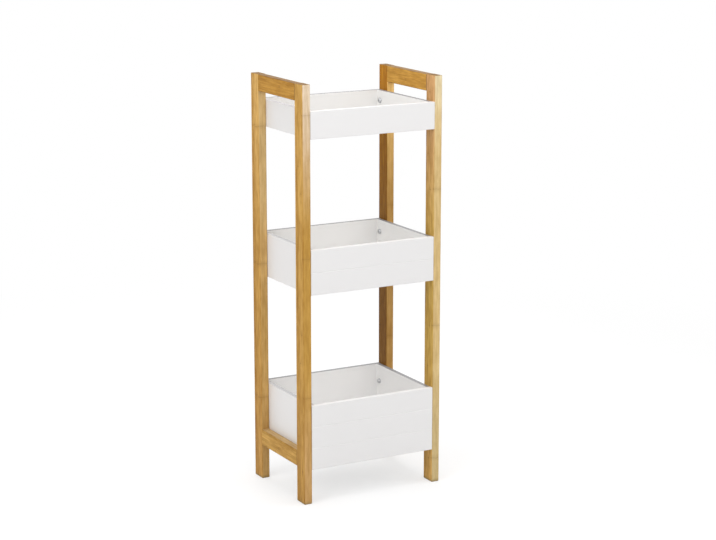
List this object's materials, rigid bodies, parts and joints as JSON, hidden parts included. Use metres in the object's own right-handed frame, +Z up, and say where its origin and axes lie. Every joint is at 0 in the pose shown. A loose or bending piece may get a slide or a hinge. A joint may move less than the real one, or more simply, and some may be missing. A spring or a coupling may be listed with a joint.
{
  "type": "bathroom shelf unit",
  "caption": "Narrow free-standing bathroom shelf with bamboo side frames and white open trays that deepen towards the floor.",
  "frame": {"origin": "on the floor under the middle of the stand", "axes": "+Z up, +X to the right seen from the front, +Y to the rear, so the front faces -Y"},
  "size_m": [0.297, 0.213, 0.8],
  "materials": {
    "bamboo_post": "satin lacquered laminated bamboo",
    "bamboo_rail": "satin lacquered laminated bamboo",
    "beech_dowel": "raw beech",
    "white_paint": "satin white paint on fibreboard",
    "white_floor": "satin white paint on thin fibreboard",
    "bolt_steel": "zinc plated",
    "washer_steel": "zinc plated",
    "insert_brass": "plain turned brass"
  },
  "bodies": {
    "root": {"front_left_post": "bamboo_post", "rear_left_post": "bamboo_post", "left_lower_rail": "bamboo_rail", "left_top_rail": "bamboo_rail", "left_frame_dowels": "beech_dowel", "front_right_post": "bamboo_post", "rear_right_post": "bamboo_post", "right_lower_rail": "bamboo_rail", "right_top_rail": "bamboo_rail", "right_frame_dowels": "beech_dowel", "bottom_tray_front": "white_paint", "bottom_tray_rear": "white_paint", "bottom_tray_left_end": "white_paint", "bottom_tray_right_end": "white_paint", "bottom_tray_floor": "white_floor", "bottom_tray_dowels": "beech_dowel", "bottom_tray_bolts": "bolt_steel", "bottom_tray_washers": "washer_steel", "bottom_tray_inserts": "insert_brass", "middle_tray_front": "white_paint", "middle_tray_rear": "white_paint", "middle_tray_left_end": "white_paint", "middle_tray_right_end": "white_paint", "middle_tray_floor": "white_floor", "middle_tray_dowels": "beech_dowel", "middle_tray_bolts": "bolt_steel", "middle_tray_washers": "washer_steel", "middle_tray_inserts": "insert_brass", "top_tray_front": "white_paint", "top_tray_rear": "white_paint", "top_tray_left_end": "white_paint", "top_tray_right_end": "white_paint", "top_tray_floor": "white_floor", "top_tray_dowels": "beech_dowel", "top_tray_bolts": "bolt_steel", "top_tray_washers": "washer_steel", "top_tray_inserts": "insert_brass"}
  },
  "joints": []
}
